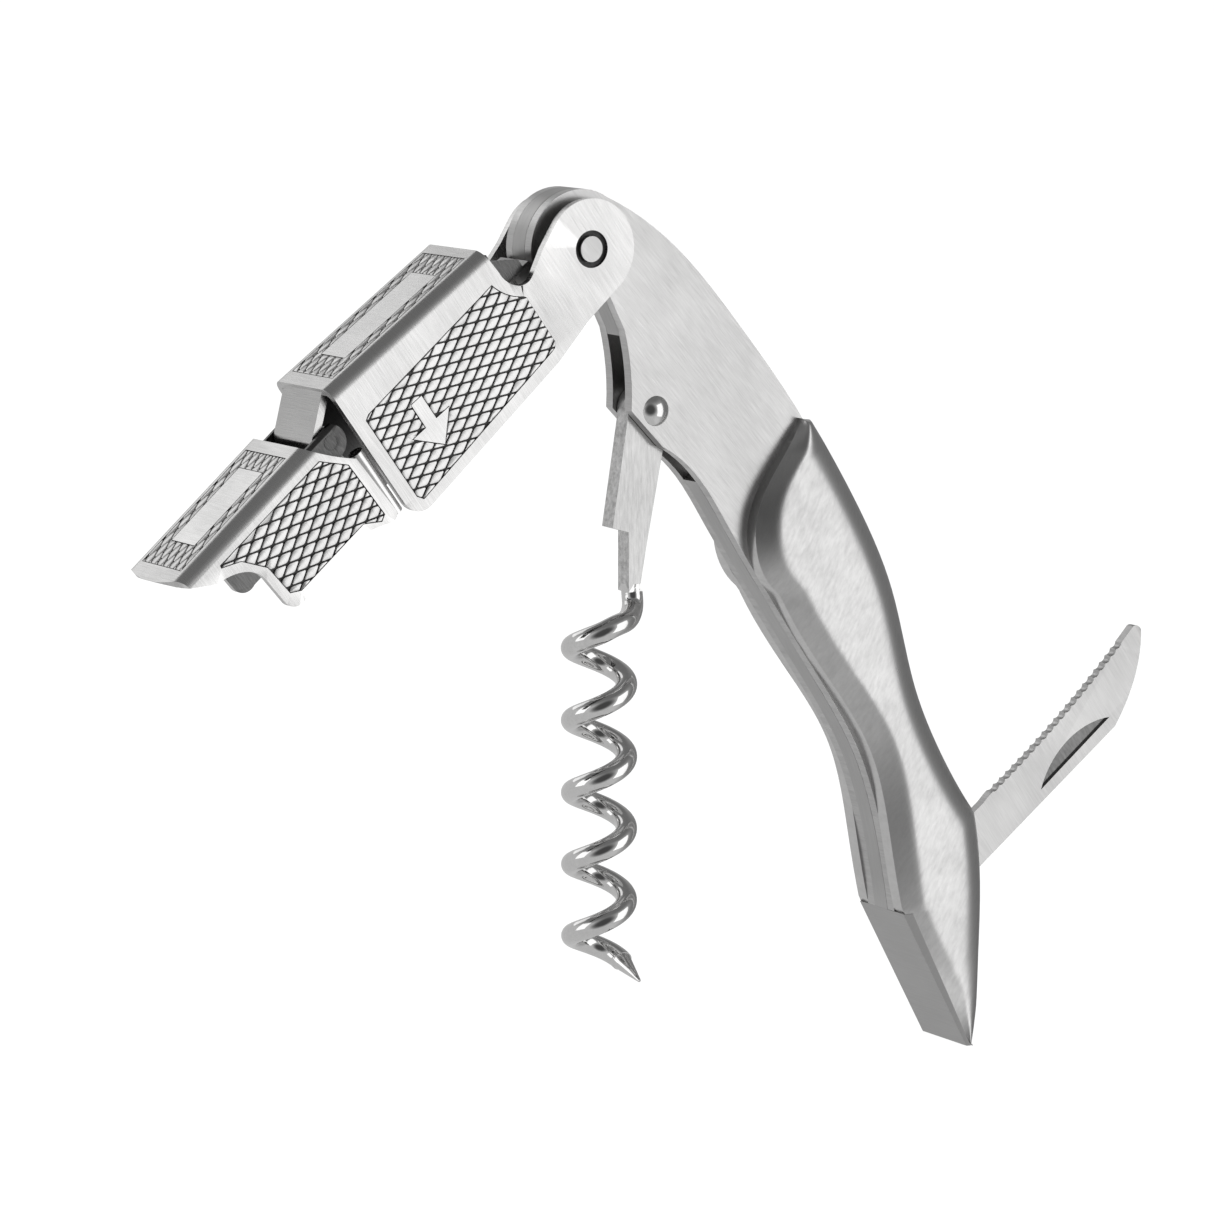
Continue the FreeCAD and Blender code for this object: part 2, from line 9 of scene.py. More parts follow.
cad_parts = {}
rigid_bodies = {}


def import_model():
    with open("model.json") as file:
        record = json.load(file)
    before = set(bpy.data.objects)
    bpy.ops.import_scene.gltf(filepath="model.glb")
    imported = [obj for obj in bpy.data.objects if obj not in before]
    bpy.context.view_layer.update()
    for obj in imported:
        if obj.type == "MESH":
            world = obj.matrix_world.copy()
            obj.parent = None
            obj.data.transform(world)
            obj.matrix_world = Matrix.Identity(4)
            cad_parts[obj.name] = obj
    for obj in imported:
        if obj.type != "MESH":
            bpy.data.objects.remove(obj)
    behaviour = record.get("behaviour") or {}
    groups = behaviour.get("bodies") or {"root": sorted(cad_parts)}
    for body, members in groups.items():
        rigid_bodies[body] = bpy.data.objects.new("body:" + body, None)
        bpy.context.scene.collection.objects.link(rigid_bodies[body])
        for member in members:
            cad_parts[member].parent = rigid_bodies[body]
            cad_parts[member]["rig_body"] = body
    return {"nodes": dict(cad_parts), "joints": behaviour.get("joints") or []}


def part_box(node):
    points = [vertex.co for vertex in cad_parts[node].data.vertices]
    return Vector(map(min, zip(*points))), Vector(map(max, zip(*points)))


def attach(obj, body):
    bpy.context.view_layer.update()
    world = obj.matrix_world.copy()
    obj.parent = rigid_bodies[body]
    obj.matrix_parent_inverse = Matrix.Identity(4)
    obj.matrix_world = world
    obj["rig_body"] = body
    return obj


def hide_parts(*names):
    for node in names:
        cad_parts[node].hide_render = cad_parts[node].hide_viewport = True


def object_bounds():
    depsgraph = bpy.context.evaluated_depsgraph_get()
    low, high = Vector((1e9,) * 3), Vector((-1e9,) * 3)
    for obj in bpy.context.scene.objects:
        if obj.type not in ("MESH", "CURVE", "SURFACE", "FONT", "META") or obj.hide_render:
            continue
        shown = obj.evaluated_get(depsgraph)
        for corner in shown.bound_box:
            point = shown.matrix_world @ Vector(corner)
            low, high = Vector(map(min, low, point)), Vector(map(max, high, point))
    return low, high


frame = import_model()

cad_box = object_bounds()

# ---------------------------------------------------------------- handle plates
# Two flat side plates, blanked from 1.5 mm stainless sheet and riveted up as the handle's frame.
# Their faces are belt-ground on a diagonal, and the blanked edges are lightly tumbled.
mm = 0.001
joints = {joint["name"]: Vector(joint["pos_m"]) for joint in frame["joints"]}
nodes = frame["nodes"]
pivot = joints["lever_swing"]


def socket(group, name, kind, direction, value=None):
    made = group.interface.new_socket(name=name, in_out=direction, socket_type=kind)
    if value is not None:
        made.default_value = value


def brushed_grain_group():
    """Fine parallel grinding lines with faint cloudy variation, as a colour, a roughness and a height."""
    group = bpy.data.node_groups.new("brushed_grain", "ShaderNodeTree")
    socket(group, "Light", "NodeSocketColor", "INPUT", (0.7, 0.7, 0.7, 1))
    socket(group, "Dark", "NodeSocketColor", "INPUT", (0.5, 0.5, 0.5, 1))
    socket(group, "Turn", "NodeSocketVector", "INPUT")
    socket(group, "Line Size", "NodeSocketVector", "INPUT", (1, 1, 1))
    socket(group, "Cloud Scale", "NodeSocketFloat", "INPUT", 90.0)
    socket(group, "Smooth", "NodeSocketFloat", "INPUT", 0.25)
    socket(group, "Rough", "NodeSocketFloat", "INPUT", 0.4)
    socket(group, "Color", "NodeSocketColor", "OUTPUT")
    socket(group, "Roughness", "NodeSocketFloat", "OUTPUT")
    socket(group, "Height", "NodeSocketFloat", "OUTPUT")
    add, link = group.nodes.new, group.links.new
    given = add("NodeGroupInput")
    put = add("NodeGroupOutput")
    place = add("ShaderNodeTexCoord")
    turned = add("ShaderNodeMapping")
    turned.vector_type = "TEXTURE"
    link(place.outputs["Object"], turned.inputs["Vector"])
    link(given.outputs["Turn"], turned.inputs["Rotation"])
    link(given.outputs["Line Size"], turned.inputs["Scale"])
    lines = add("ShaderNodeTexNoise")
    lines.inputs["Scale"].default_value = 1.0
    lines.inputs["Detail"].default_value = 4.0
    lines.inputs["Roughness"].default_value = 0.7
    link(turned.outputs["Vector"], lines.inputs["Vector"])
    cloud = add("ShaderNodeTexNoise")
    cloud.inputs["Detail"].default_value = 5.0
    link(place.outputs["Object"], cloud.inputs["Vector"])
    link(given.outputs["Cloud Scale"], cloud.inputs["Scale"])
    both = add("ShaderNodeMix")
    both.data_type = "FLOAT"
    both.inputs[0].default_value = 0.35
    link(lines.outputs["Fac"], both.inputs[2])
    link(cloud.outputs["Fac"], both.inputs[3])
    spread = add("ShaderNodeMapRange")
    spread.inputs["From Min"].default_value = 0.32
    spread.inputs["From Max"].default_value = 0.68
    link(both.outputs[0], spread.inputs["Value"])
    tint = add("ShaderNodeMix")
    tint.data_type = "RGBA"
    link(spread.outputs["Result"], tint.inputs[0])
    link(given.outputs["Dark"], tint.inputs[6])
    link(given.outputs["Light"], tint.inputs[7])
    gloss = add("ShaderNodeMix")
    gloss.data_type = "FLOAT"
    link(spread.outputs["Result"], gloss.inputs[0])
    link(given.outputs["Rough"], gloss.inputs[2])
    link(given.outputs["Smooth"], gloss.inputs[3])
    link(tint.outputs[2], put.inputs["Color"])
    link(gloss.outputs[0], put.inputs["Roughness"])
    link(lines.outputs["Fac"], put.inputs["Height"])
    return group


def worn_edge_group():
    """Corners rubbed bright and inside corners left dull, over any colour."""
    group = bpy.data.node_groups.new("worn_edge", "ShaderNodeTree")
    socket(group, "Color", "NodeSocketColor", "INPUT", (0.6, 0.6, 0.6, 1))
    socket(group, "Rubbed", "NodeSocketColor", "INPUT", (0.9, 0.9, 0.9, 1))
    socket(group, "Amount", "NodeSocketFloat", "INPUT", 0.5)
    socket(group, "Color", "NodeSocketColor", "OUTPUT")
    add, link = group.nodes.new, group.links.new
    given = add("NodeGroupInput")
    put = add("NodeGroupOutput")
    shape = add("ShaderNodeNewGeometry")
    corner = add("ShaderNodeMapRange")
    corner.inputs["From Min"].default_value = 0.52
    corner.inputs["From Max"].default_value = 0.62
    link(shape.outputs["Pointiness"], corner.inputs["Value"])
    share = add("ShaderNodeMath")
    share.operation = "MULTIPLY"
    link(corner.outputs["Result"], share.inputs[0])
    link(given.outputs["Amount"], share.inputs[1])
    mixed = add("ShaderNodeMix")
    mixed.data_type = "RGBA"
    link(share.outputs[0], mixed.inputs[0])
    link(given.outputs["Color"], mixed.inputs[6])
    link(given.outputs["Rubbed"], mixed.inputs[7])
    link(mixed.outputs[2], put.inputs["Color"])
    return group


brushed_grain = brushed_grain_group()
worn_edge = worn_edge_group()
weld = 0.002 * mm
flat_angle = math.radians(0.6)
corner_angle = math.radians(33)


def grey(level):
    """A steel grey, a touch warmer in the light than in the dark."""
    return (level, level * 0.995, level * 0.99, 1)


def steel(name, light, dark, turn, line, smooth, rough, depth, cloud=90.0, rubbed=0.5):
    """Steel with its own greys, grinding direction, line size (across, along), gloss and line depth."""
    material = bpy.data.materials.new(name)
    material.use_nodes = True
    tree = material.node_tree
    shader = tree.nodes["Principled BSDF"]
    shader.inputs["Metallic"].default_value = 1.0
    grain = tree.nodes.new("ShaderNodeGroup")
    grain.node_tree = brushed_grain
    grain.inputs["Light"].default_value = grey(light)
    grain.inputs["Dark"].default_value = grey(dark)
    grain.inputs["Turn"].default_value = turn
    grain.inputs["Line Size"].default_value = (line[0], line[1], line[1])
    grain.inputs["Cloud Scale"].default_value = cloud
    grain.inputs["Smooth"].default_value = smooth
    grain.inputs["Rough"].default_value = rough
    worn = tree.nodes.new("ShaderNodeGroup")
    worn.node_tree = worn_edge
    worn.inputs["Rubbed"].default_value = grey(min(1.0, light * 1.25))
    worn.inputs["Amount"].default_value = rubbed
    bump = tree.nodes.new("ShaderNodeBump")
    bump.inputs["Strength"].default_value = depth
    bump.inputs["Distance"].default_value = 0.01 * mm
    tree.links.new(grain.outputs["Color"], worn.inputs["Color"])
    tree.links.new(worn.outputs["Color"], shader.inputs["Base Color"])
    tree.links.new(grain.outputs["Roughness"], shader.inputs["Roughness"])
    tree.links.new(grain.outputs["Height"], bump.inputs["Height"])
    tree.links.new(bump.outputs["Normal"], shader.inputs["Normal"])
    return material


def smooth_faces(mesh, limit=math.radians(32)):
    """Smooth shading that breaks at real corners."""
    work = bmesh.new()
    work.from_mesh(mesh)
    for face in work.faces:
        face.smooth = True
    for edge in work.edges:
        edge.smooth = len(edge.link_faces) == 2 and edge.calc_face_angle(0.0) < limit
    work.to_mesh(mesh)
    work.free()


def machined(node, name, finishes, corner, pick=None):
    """A CAD piece with its corners broken: corner is the chamfer's width, pick chooses a face's finish."""
    source = nodes[node]
    work = bmesh.new()
    points = [work.verts.new(vertex.co) for vertex in source.data.vertices]
    for polygon in source.data.polygons:
        ring = [points[index] for index in polygon.vertices]
        if len(set(ring)) > 2 and not work.faces.get(ring):
            work.faces.new(ring)
    bmesh.ops.remove_doubles(work, verts=work.verts, dist=weld)
    bmesh.ops.dissolve_degenerate(work, dist=weld, edges=work.edges)
    bmesh.ops.dissolve_limit(work, angle_limit=flat_angle, verts=work.verts, edges=work.edges)
    corners = [edge for edge in work.edges
               if len(edge.link_faces) == 2 and edge.calc_face_angle(0.0) > corner_angle]
    bmesh.ops.bevel(work, geom=corners, offset=corner, segments=2, profile=0.6, affect="EDGES",
                    clamp_overlap=True)
    bmesh.ops.triangulate(work, faces=[face for face in work.faces if len(face.verts) > 4])
    mesh = bpy.data.meshes.new(name)
    for finish in finishes:
        mesh.materials.append(finish)
    for face in work.faces:
        face.material_index = pick(face.calc_center_median(), face.normal) if pick else 0
    work.to_mesh(mesh)
    work.free()
    smooth_faces(mesh)
    piece = bpy.data.objects.new(name, mesh)
    bpy.context.scene.collection.objects.link(piece)
    even = piece.modifiers.new("even_shading", "WEIGHTED_NORMAL")
    even.keep_sharp = True
    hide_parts(node)
    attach(piece, source["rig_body"])
    return piece


plate_edge = 0.16 * mm
plate_finish = steel("ground_plate", 0.6, 0.44, (0, math.radians(-42), 0), (0.1 * mm, 3.5 * mm),
                     0.26, 0.40, 0.35, cloud=60.0)
for side in ("front", "rear"):
    machined(f"{side}_plate", f"{side}_side_plate", [plate_finish], plate_edge)

# ---------------------------------------------------------------- spacers and end block
# Steel spacers hold the plates apart at the nose and down the grip. A cross block closes the foot.
# All three are ground level with the plates, so only a hairline shows between them.
spacer_finish = steel("ground_spacer", 0.5, 0.42, (0, 0, math.radians(90)), (0.12 * mm, 4 * mm),
                      0.32, 0.46, 0.3)
block_finish = steel("ground_block", 0.46, 0.4, (0, math.radians(28), 0), (0.1 * mm, 5 * mm),
                     0.3, 0.42, 0.25)
for node, finish in (("nose_spacer", spacer_finish), ("handle_spacer", spacer_finish),
                     ("end_block", block_finish)):
    machined(node, f"{node}_ground", [finish], 0.08 * mm)

# ---------------------------------------------------------------- grip scales
# Cast stainless grips, one on each plate: an upright rim, a broad bevel along the belly, a crowned
# face and a rounded back edge. They are satin blasted, then lightly polished by the hand.
scale_height = 3.4 * mm
rim_height = 1.95 * mm
bevel_width = 2.5 * mm
bevel_top = 3.05 * mm
bevel_share = 0.36
back_reach = 5.3 * mm
back_drop = 2.9 * mm
back_lean = 0.76
block_foot_width = 0.6 * mm
tip_round = 1.3 * mm
end_margin = 0.03 * mm
tip_in = 7.2 * mm
foot_in = 3.6 * mm
crown_fall = 0.28 * mm
crease = 0.06 * mm
foot_fade = 34 * mm
tip_curl = 4.5 * mm
tip_fade = 14 * mm
rim_corner = math.radians(48)
rim_radius = 0.14 * mm
stations = 150
columns = 36


def flat_loops(node, origin, along, normal, level):
    """Boundary loops of a CAD piece's flat faces at one level, as points (along, across)."""
    across = normal.cross(along)
    mesh = nodes[node].data
    open_edges = {}
    for polygon in mesh.polygons:
        height = (polygon.center - origin).dot(normal)
        if polygon.normal.dot(normal) < 0.999 or abs(height - level) > 0.02 * mm:
            continue
        ring = []
        for index in polygon.vertices:
            offset = mesh.vertices[index].co - origin
            ring.append((round(offset.dot(along), 6), round(offset.dot(across), 6)))
        for start, end in zip(ring, ring[1:] + ring[:1]):
            if (end, start) in open_edges:
                del open_edges[(end, start)]
            elif start != end:
                open_edges[(start, end)] = True
    following = {start: end for start, end in open_edges}
    loops = []
    while following:
        start, here = following.popitem()
        loop = [start]
        while here in following:
            loop.append(here)
            here = following.pop(here)
        if len(loop) > 2:
            loops.append(loop)
    return loops


def area(loop):
    return sum(a[0] * b[1] - b[0] * a[1] for a, b in zip(loop, loop[1:] + loop[:1])) / 2


def crossings(loop, level):
    """Where a closed loop crosses first-coordinate = level, as the lowest and highest second coordinate."""
    found = []
    for start, end in zip(loop, loop[1:] + loop[:1]):
        if (start[0] - level) * (end[0] - level) < 0:
            share = (level - start[0]) / (end[0] - start[0])
            found.append(start[1] + share * (end[1] - start[1]))
    return min(found), max(found)


def eased(share):
    share = min(max(share, 0.0), 1.0)
    return share * share * (3 - 2 * share)


def soft_min(values, blend):
    """The lowest of several heights, with the creases between them rounded over."""
    return -blend * math.log(sum(math.exp(-value / blend) for value in values))


def crown(belly, back, from_tip, from_foot):
    """Height of a grip's face at these distances from the belly edge, back edge, tip and foot."""
    facet = min(bevel_width, bevel_share * (belly + back))
    bevel = rim_height + (bevel_top - rim_height) * belly / facet
    middle = (belly - back) / max(belly + back, 1e-6)
    face = scale_height - crown_fall * (middle - 0.05) ** 2
    reach = min(back_reach, 0.6 * (belly + back))
    lean = back_lean * max(reach - back, 0.0) / reach
    fall = (1 - math.sqrt(1 - lean ** 2)) / (1 - math.sqrt(1 - back_lean ** 2))
    height = soft_min((bevel, face, scale_height - back_drop * fall), crease)
    foot_share = 0.35 + 0.65 * eased(from_foot / foot_fade)
    height = min(height, rim_height) + max(height - rim_height, 0.0) * foot_share
    tip_curve = 1 - min(from_tip / tip_curl, 1.0)
    tip_share = (0.3 + 0.7 * math.sqrt(1 - tip_curve ** 2)) * (0.8 + 0.2 * eased(from_tip / tip_fade))
    return height * tip_share


def scale(node, name, out):
    """One grip scale, its outline taken from the CAD piece's seat on the plate."""
    low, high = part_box(node)
    seat = max(out * low.y, out * high.y) - scale_height
    tip = Vector((low.x + tip_in, 0, high.z))
    foot = Vector((high.x - foot_in, 0, low.z))
    along = (foot - tip).normalized()
    normal = Vector((0, -out, 0))
    across = normal.cross(along)
    origin = Vector((tip.x, out * seat, tip.z))
    loop = max(flat_loops(node, origin, along, normal, 0.0), key=lambda ring: abs(area(ring)))
    start, end = min(point[0] for point in loop), max(point[0] for point in loop)
    block_low, block_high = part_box("end_block")
    block_top = Vector((block_low.x, 0, block_high.z)) - origin
    block_foot = Vector((block_high.x - block_foot_width, 0, block_low.z)) - origin
    work = bmesh.new()
    rows = []
    for station in range(stations + 1):
        share = (1 - math.cos(math.pi * station / stations)) / 2
        level = start + end_margin + share * (end - start - 2 * end_margin)
        edges = crossings(loop, level)
        belly, back = sorted(edges, key=lambda edge: (across * edge).x)
        down = (level - block_top.dot(along)) / (block_foot - block_top).dot(along)
        outer = block_top.lerp(block_foot, down).dot(across)
        hidden = abs(belly - outer) if 0 < down < 1 else 0.0
        from_end = min(level - start, end - level)
        rounding = math.sqrt(1 - (1 - min(from_end / tip_round, 1.0)) ** 2)
        centre = (belly + back) / 2
        belly = centre + (belly - centre) * rounding
        back = centre + (back - centre) * rounding
        width = abs(back - belly)
        row = []
        for column in range(columns + 1):
            place = (1 - math.cos(math.pi * column / columns)) / 2
            height = crown(hidden + place * width, (1 - place) * width, level - start, end - level)
            point = origin + along * level + across * (belly + place * (back - belly))
            row.append(work.verts.new(point + Vector((0, out * height, 0))))
        floor = [work.verts.new(origin + along * level + across * edge) for edge in (belly, back)]
        rows.append((row, floor))
    for (row, floor), (next_row, next_floor) in zip(rows, rows[1:]):
        for column in range(columns):
            work.faces.new((row[column], row[column + 1], next_row[column + 1], next_row[column]))
        work.faces.new((floor[0], row[0], next_row[0], next_floor[0]))
        work.faces.new((row[-1], floor[1], next_floor[1], next_row[-1]))
        work.faces.new((floor[1], floor[0], next_floor[0], next_floor[1]))
    for row, floor in (rows[0], rows[-1]):
        work.faces.new(row + [floor[1], floor[0]])
    bmesh.ops.recalc_face_normals(work, faces=work.faces)
    rim = [edge for edge in work.edges if edge.calc_face_angle(0.0) > rim_corner]
    bmesh.ops.bevel(work, geom=rim, offset=rim_radius, segments=3, profile=0.5, affect="EDGES",
                    clamp_overlap=True)
    mesh = bpy.data.meshes.new(name)
    mesh.materials.append(scale_finish)
    work.to_mesh(mesh)
    work.free()
    smooth_faces(mesh, math.radians(40))
    piece = bpy.data.objects.new(name, mesh)
    bpy.context.scene.collection.objects.link(piece)
    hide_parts(node)
    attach(piece, "handle")
    return piece


scale_finish = steel("satin_casting", 0.64, 0.52, (0, math.radians(28), 0), (0.5 * mm, 1.6 * mm),
                     0.27, 0.38, 0.3, cloud=220.0, rubbed=0.25)
scale("front_scale", "front_grip", -1)
scale("rear_scale", "rear_grip", 1)

# ---------------------------------------------------------------- rivets and pins
# Turned steel pins. The worm's rivet has polished domed heads, the pivot pin is ground level with
# the lever's ears, and the frame rivets and scale studs are hidden under the grips.
polished = steel("polished_rivet", 0.72, 0.62, (0, 0, 0), (0.3 * mm, 0.3 * mm), 0.07, 0.16, 0.1)
pin_finish = steel("turned_pin", 0.62, 0.5, (0, 0, math.radians(90)), (0.1 * mm, 0.8 * mm),
                   0.2, 0.34, 0.3)
pins = {"worm_rivet": polished, "lever_pivot_pin": plate_finish, "blade_pin": pin_finish,
        "frame_rivets": pin_finish, "scale_studs": pin_finish, "pivot_washer_front": pin_finish,
        "pivot_washer_rear": pin_finish, "blade_washer_front": pin_finish, "blade_washer_rear": pin_finish}
for node, finish in pins.items():
    machined(node, f"{node}_turned", [finish], 0.06 * mm)

# ---------------------------------------------------------------- first lever
# A channel folded from 1 mm sheet and brushed across its length. Both walls and the back carry a
# rolled diamond pattern: raised pads with the valleys between them chemically blackened.
first_angle = math.radians(36)
lever_turn = (0, -first_angle, 0)
wall_out = 6.8 * mm
wall_inside = 5.82 * mm
back_out = 10.2 * mm
back_inside = 9.25 * mm
panel_depth = 0.25 * mm
ring_floor = 4.93 * mm
ring_reach = 2.35 * mm
lever_edge = 0.14 * mm
cell_length = 3.1 * mm
cell_width = 1.54 * mm
valley = 0.18 * mm
smallest_pad = 0.1 * mm * mm
same_level = 0.03 * mm
channel_start = 9.5 * mm
channel_end = 38.5 * mm
pad_levels = ((-0.02 * mm, 0.0), (panel_depth - 0.06 * mm, 0.0),
              (panel_depth - 0.02 * mm, 0.025 * mm), (panel_depth - 0.005 * mm, 0.07 * mm))
corner_cut = 0.13
front_way = Vector((0, -1, 0))
rear_way = Vector((0, 1, 0))

brushed_lever = steel("brushed_lever", 0.68, 0.5, lever_turn, (0.07 * mm, 4 * mm),
                      0.2, 0.34, 0.5, cloud=120.0, rubbed=0.8)
pad_finish = steel("rolled_pad", 0.7, 0.6, lever_turn, (0.09 * mm, 3 * mm),
                   0.24, 0.36, 0.3, rubbed=0.6)
blackened = steel("blackened_valley", 0.09, 0.05, (0, 0, 0), (0.2 * mm, 0.2 * mm),
                  0.4, 0.6, 0.4, rubbed=0.0)
# Painted shade: a near-black steel laid on the channels' inner faces, where the folded channel is only
# shaded.
channel_painted_shade = steel("channel_painted_shade", 0.16, 0.08, lever_turn, (0.12 * mm, 2 * mm),
                    0.22, 0.4, 0.4, rubbed=0.3)


def lever_axes(angle):
    """A lever's length and back directions, tilted down from the pivot by angle."""
    return (Vector((-math.cos(angle), 0, -math.sin(angle))), Vector((-math.sin(angle), 0, math.cos(angle))))


def moved_in(loop, depth):
    """A boundary loop moved to its left by depth: outlines shrink and islands grow."""
    moved = []
    for index, point in enumerate(loop):
        before, after = Vector(loop[index - 1]), Vector(loop[(index + 1) % len(loop)])
        here = Vector(point)
        first, second = (here - before).normalized(), (after - here).normalized()
        lean = Vector((-first.y - second.y, first.x + second.x))
        length = max(lean.length_squared / 2, 0.35)
        moved.append(here + lean * (depth / length))
    return moved


def rounded_ring(ring, times):
    """Corners of a small ring cut back again and again, which rounds them."""
    for _ in range(times):
        cut = []
        for start, end in zip(ring, ring[1:] + ring[:1]):
            cut += [start.lerp(end, corner_cut), start.lerp(end, 1 - corner_cut)]
        ring = cut
    return ring


def kept_rings(cell, outlines, islands):
    """What is left of a cell inside the outlines and outside the islands, as boundary rings."""
    loops = [cell] + outlines + islands
    points, faces = [], []
    for loop in loops:
        faces.append(list(range(len(points), len(points) + len(loop))))
        points += loop
    made = delaunay_2d_cdt(points, [], faces, 1, 1e-8, True)
    edges = {}
    first_island = 1 + len(outlines)
    for face, sources in zip(made[2], made[5]):
        inside = 0 in sources and any(0 < source < first_island for source in sources)
        if not inside or any(source >= first_island for source in sources):
            continue
        for start, end in zip(face, face[1:] + face[:1]):
            if (end, start) in edges:
                del edges[(end, start)]
            else:
                edges[(start, end)] = True
    following = {start: end for start, end in edges}
    rings = []
    while following:
        start, here = following.popitem()
        ring = [made[0][start]]
        while here in following:
            ring.append(made[0][here])
            here = following.pop(here)
        if len(ring) > 2:
            rings.append(ring)
    return rings


def knurl(name, node, origin, along, normal, level):
    """Raised diamond pads over one sunk panel of a lever, as one mesh of separate closed pads."""
    across = normal.cross(along)
    loops = flat_loops(node, origin, along, normal, level)
    outlines = [moved_in(loop, valley / 2) for loop in loops if area(loop) > 0]
    islands = [moved_in(loop, valley / 2)[::-1] for loop in loops if area(loop) < 0]
    half_length, half_width = cell_length / 2, cell_width / 2
    shrink = 1 - valley / 2 * math.hypot(half_length, half_width) / (half_length * half_width)
    reach_along = max(abs(point[0]) for loop in loops for point in loop)
    reach_across = max(abs(point[1]) for loop in loops for point in loop)
    work = bmesh.new()
    for row in range(-int(reach_across / half_width) - 1, int(reach_across / half_width) + 2):
        for column in range(-int(reach_along / half_length) - 1, int(reach_along / half_length) + 2):
            if (row + column) % 2:
                continue
            middle = Vector((column * half_length, row * half_width))
            cell = [middle + Vector((half_length * shrink, 0)), middle + Vector((0, half_width * shrink)),
                    middle - Vector((half_length * shrink, 0)), middle - Vector((0, half_width * shrink))]
            for ring in kept_rings(cell, outlines, islands):
                if area([tuple(point) for point in ring]) > smallest_pad:
                    pad(work, rounded_ring(ring, 2), origin, along, across, normal, level)
    bmesh.ops.recalc_face_normals(work, faces=work.faces)
    mesh = bpy.data.meshes.new(name)
    mesh.materials.append(pad_finish)
    work.to_mesh(mesh)
    work.free()
    smooth_faces(mesh, math.radians(50))
    piece = bpy.data.objects.new(name, mesh)
    bpy.context.scene.collection.objects.link(piece)
    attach(piece, nodes[node]["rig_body"])
    return piece


def pad(work, ring, origin, along, across, normal, level):
    """One pad: upright sides, a soft shoulder and a nearly flat top just under the lever's surface."""
    middle = sum(ring, Vector((0, 0))) / len(ring)
    size = max((point - middle).length for point in ring)
    rings = []
    for height, inset in pad_levels:
        share = 1 - inset / size * 1.4
        points = [middle + (point - middle) * share for point in ring]
        lift = normal * (level + height)
        rings.append([work.verts.new(origin + along * point.x + across * point.y + lift)
                      for point in points])
    for lower, upper in zip(rings, rings[1:]):
        for index in range(len(lower)):
            after = (index + 1) % len(lower)
            work.faces.new((lower[index], lower[after], upper[after], upper[index]))
    work.faces.new(rings[0][::-1])
    work.faces.new(rings[-1])


first_along, first_back = lever_axes(first_angle)


def first_lever_finish(centre, normal):
    """0 brushed, 1 blackened panel and ring floors, 2 painted shade on the channel's inner faces."""
    offset = centre - pivot
    along, height, side = offset.dot(first_along), offset.dot(first_back), abs(offset.y)
    if abs(normal.y) > 0.9 and abs(side - wall_out + panel_depth) < same_level:
        return 1
    if normal.dot(first_back) > 0.9 and abs(height - back_out + panel_depth) < same_level:
        return 1
    in_ring = Vector((along, height)).length < ring_reach
    if in_ring and abs(normal.y) > 0.9 and abs(side - ring_floor) < same_level:
        return 1
    if side < wall_inside and height < back_inside and channel_start < along < channel_end:
        return 2
    return 0


machined("first_lever", "first_lever_shell", [brushed_lever, blackened, channel_painted_shade],
         lever_edge, first_lever_finish)
for side, way in (("front", front_way), ("rear", rear_way)):
    knurl(f"first_lever_{side}_pads", "first_lever", pivot, first_along, way, wall_out - panel_depth)
knurl("first_lever_back_pads", "first_lever", pivot, first_along, first_back, back_out - panel_depth)

# ---------------------------------------------------------------- second lever
# The shorter outer lever, folded and rolled like the first. Its tip is the lip that sits on the
# bottle's rim, and a liner under its back carries the hidden hinge pin.
second_angle = math.radians(41)
second_back_out = 2.5 * mm
second_inside = 1.55 * mm
second_start = 1.5 * mm
second_end = 22 * mm
hinge = joints["second_lever_hinge"]
second_along, second_back = lever_axes(second_angle)


def second_lever_finish(centre, normal):
    """0 brushed, 1 blackened panel floors, 2 painted shade on the channel's inner faces."""
    offset = centre - hinge
    along, height, side = offset.dot(second_along), offset.dot(second_back), abs(offset.y)
    if abs(normal.y) > 0.9 and abs(side - wall_out + panel_depth) < same_level:
        return 1
    if normal.dot(second_back) > 0.9 and abs(height - second_back_out + panel_depth) < same_level:
        return 1
    if side < wall_inside and height < second_inside and second_start < along < second_end:
        return 2
    return 0


machined("second_lever", "second_lever_shell", [brushed_lever, blackened, channel_painted_shade],
         lever_edge, second_lever_finish)
for side, way in (("front", front_way), ("rear", rear_way)):
    knurl(f"second_lever_{side}_pads", "second_lever", hinge, second_along, way, wall_out - panel_depth)
knurl("second_lever_back_pads", "second_lever", hinge, second_along, second_back,
      second_back_out - panel_depth)

# ---------------------------------------------------------------- spring pack and hinge hardware
# A black oxidised bracket riveted under the first lever's back carries the leaf that clicks on the
# nose. The liner is oxidised too, and the liner's flush rivets are tempered blue. The hinge pin gets
# the same black as painted shade, standing in for the shadowed gap round its end.
oxide_and_pin_shade = steel("black_oxide_and_pin_shade", 0.12, 0.06, lever_turn, (0.15 * mm, 1 * mm),
              0.2, 0.38, 0.4, rubbed=0.35)
spring_blue = steel("tempered_leaf", 0.3, 0.2, lever_turn, (0.12 * mm, 2 * mm),
                    0.18, 0.3, 0.3)
hardware = {"spring_bracket": oxide_and_pin_shade, "spring_rivet": oxide_and_pin_shade, "lever_spring": spring_blue,
            "hinge_bracket": oxide_and_pin_shade, "bracket_rivets": spring_blue, "hinge_pin": oxide_and_pin_shade}
for node, finish in hardware.items():
    machined(node, f"{node}_made", [finish], 0.06 * mm)

